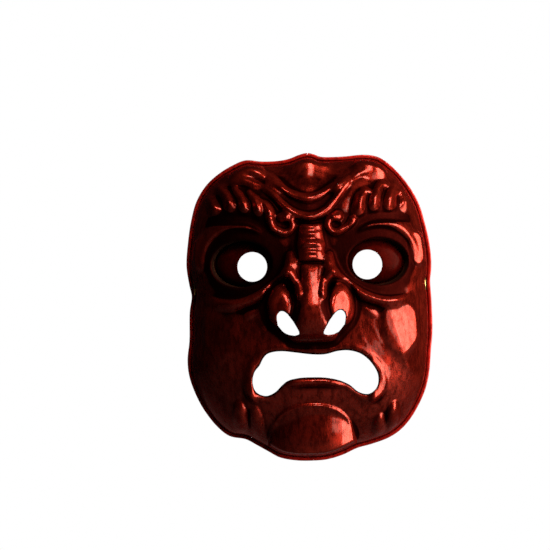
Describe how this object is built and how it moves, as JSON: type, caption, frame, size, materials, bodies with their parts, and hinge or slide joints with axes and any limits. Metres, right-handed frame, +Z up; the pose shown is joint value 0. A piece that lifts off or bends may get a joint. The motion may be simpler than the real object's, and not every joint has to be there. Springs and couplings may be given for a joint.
{
  "type": "noh mask",
  "caption": "Red lacquered noh mask of a glaring demon face, hollow behind, with open eyes, nostrils and mouth, copper eyes, edge strips, cord eyelets and pads.",
  "frame": {"origin": "on the flat plane of the mask's back edge, behind the middle of the face", "axes": "+X to the right as the viewer faces the mask, +Z up towards the forehead, the face looks along -Y"},
  "size_m": [0.167, 0.0833, 0.21],
  "materials": {
    "red_lacquer": "cypress wood under glossy deep red lacquer",
    "rim_lacquer": "thin bent wood strip under glossy red lacquer",
    "eye_lacquer": "beaten copper under red lacquer",
    "copper_nail": "dull copper",
    "brass_fitting": "satin aged brass",
    "pad_cloth": "plain woven cotton over a soft filling"
  },
  "bodies": {
    "root": {"face_shell": "red_lacquer", "left_rim_strip": "rim_lacquer", "left_eye": "eye_lacquer", "left_eye_nail_1": "copper_nail", "left_eye_nail_2": "copper_nail", "left_eye_nail_3": "copper_nail", "left_eye_nail_4": "copper_nail", "left_cord_eyelet": "brass_fitting", "left_cord_washer": "brass_fitting", "right_rim_strip": "rim_lacquer", "right_eye": "eye_lacquer", "right_eye_nail_1": "copper_nail", "right_eye_nail_2": "copper_nail", "right_eye_nail_3": "copper_nail", "right_eye_nail_4": "copper_nail", "right_cord_eyelet": "brass_fitting", "right_cord_washer": "brass_fitting", "forehead_pad": "pad_cloth", "left_cheek_pad": "pad_cloth", "right_cheek_pad": "pad_cloth"}
  },
  "joints": []
}
